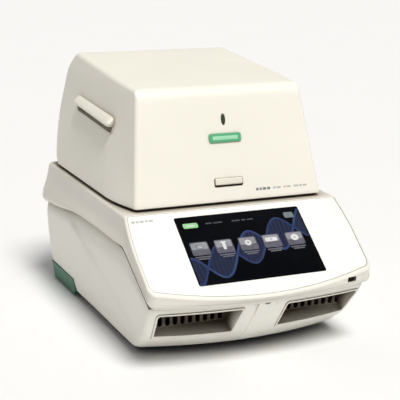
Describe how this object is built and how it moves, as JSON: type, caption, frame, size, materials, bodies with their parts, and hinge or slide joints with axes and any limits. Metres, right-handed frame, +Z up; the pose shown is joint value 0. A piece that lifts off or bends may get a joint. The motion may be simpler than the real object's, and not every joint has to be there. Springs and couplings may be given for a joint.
{
  "type": "thermal cycler",
  "caption": "Bench-top real-time PCR thermal cycler with a sliding optics head, a sample block, a sloping touchscreen panel and front air intakes.",
  "frame": {"origin": "bottom centre of the bounding box, on the bench under the feet", "axes": "+Z up, -Y towards the user (the touchscreen side), +X to the user's right"},
  "size_m": [0.334, 0.46, 0.3556],
  "materials": {
    "cream": "fine textured moulded plastic, warm off-white",
    "white": "smooth painted plastic, white",
    "green": "moulded plastic, dark green",
    "badge": "moulded plastic, mid green",
    "dark": "moulded plastic, black",
    "rubber": "rubber, black",
    "screen": "coated touch glass, black",
    "steel": "ground steel",
    "aluminium": "machined aluminium",
    "board": "circuit board with soldered parts",
    "ceramic": "ceramic-faced thermoelectric module",
    "lens": "tinted light window"
  },
  "bodies": {
    "base": {"base_tray": "dark", "foot_front_left": "rubber", "foot_front_right": "rubber", "foot_rear_left": "rubber", "foot_rear_right": "rubber", "rear_skirt": "green", "lower_housing": "cream", "upper_cover": "cream", "light_seal": "dark", "front_fascia": "white", "intake_grille_left": "cream", "intake_grille_right": "cream", "usb_port_front": "dark", "rear_panel": "dark", "touch_glass": "screen", "display_module": "steel", "fan_frame_left": "dark", "fan_frame_right": "dark", "power_inlet": "dark", "network_port": "steel", "peltier_1": "ceramic", "peltier_2": "ceramic", "peltier_3": "ceramic", "peltier_4": "ceramic", "peltier_5": "ceramic", "peltier_6": "ceramic", "heat_sink": "aluminium", "sample_block": "aluminium", "block_frame": "white", "power_supply": "steel", "control_board": "board", "rail_left": "steel", "rail_right": "steel", "lid_motor": "dark"},
    "head": {"head_shell": "cream", "grip_left": "cream", "grip_right": "cream", "badge": "badge", "status_lens": "lens", "button_frame": "dark", "head_chassis": "aluminium", "carriage_left": "dark", "carriage_right": "dark", "optics_bracket_left": "aluminium", "optics_bracket_right": "aluminium", "nut_arm": "aluminium", "optics_shaft_front": "steel", "optics_shaft_rear": "steel", "optics_motor": "dark", "head_board": "board", "heater_frame": "dark"},
    "button": {"lid_button": "cream"},
    "heated_plate": {"heater_plate": "aluminium"},
    "shuttle": {"optics_shuttle": "dark"},
    "travel_screw": {"optics_screw": "steel"},
    "drive_screw": {"lid_screw": "steel"},
    "fan_left": {"fan_rotor_left": "dark"},
    "fan_right": {"fan_rotor_right": "dark"},
    "rocker": {"power_rocker": "rubber"},
    "fuse_holder": {"fuse_drawer": "dark"}
  },
  "joints": [
    {"name": "head_slide", "type": "slide", "parent": "base", "child": "head", "axis": [0, 1, 0], "range_m": [0, 0.125]},
    {"name": "drive_screw_spin", "type": "hinge", "parent": "base", "child": "drive_screw", "pos_m": [0.106, 0.087, 0.146], "axis": [0, 1, 0], "range_deg": [-10, 1810]},
    {"name": "plate_lift", "type": "slide", "parent": "head", "child": "heated_plate", "axis": [0, 0, 1], "range_m": [0, 0.006]},
    {"name": "shuttle_travel", "type": "slide", "parent": "head", "child": "shuttle", "axis": [1, 0, 0], "range_m": [-0.06, 0.06]},
    {"name": "travel_screw_spin", "type": "hinge", "parent": "head", "child": "travel_screw", "pos_m": [0, -0.025, 0.236], "axis": [1, 0, 0], "range_deg": [-1090, 1090]},
    {"name": "button_press", "type": "slide", "parent": "head", "child": "button", "axis": [0, 0.9612, -0.276], "range_m": [0, 0.0012], "stiffness_N_per_m": 400, "springref_m": -0.0006},
    {"name": "fan_left_spin", "type": "hinge", "parent": "base", "child": "fan_left", "pos_m": [-0.088, 0.192, 0.076], "axis": [0, 1, 0], "continuous": true},
    {"name": "fan_right_spin", "type": "hinge", "parent": "base", "child": "fan_right", "pos_m": [0.008, 0.192, 0.076], "axis": [0, 1, 0], "continuous": true},
    {"name": "rocker_tilt", "type": "hinge", "parent": "base", "child": "rocker", "pos_m": [0.1, 0.2195, 0.079], "axis": [1, 0, 0], "range_deg": [-16, 0]},
    {"name": "fuse_slide", "type": "slide", "parent": "base", "child": "fuse_holder", "axis": [0, 1, 0], "range_m": [0, 0.018]}
  ],
  "couplings": [
    {"joint": "drive_screw_spin", "follows": "head_slide", "rad_per_m": 251.33},
    {"joint": "travel_screw_spin", "follows": "shuttle_travel", "rad_per_m": 314.16}
  ]
}
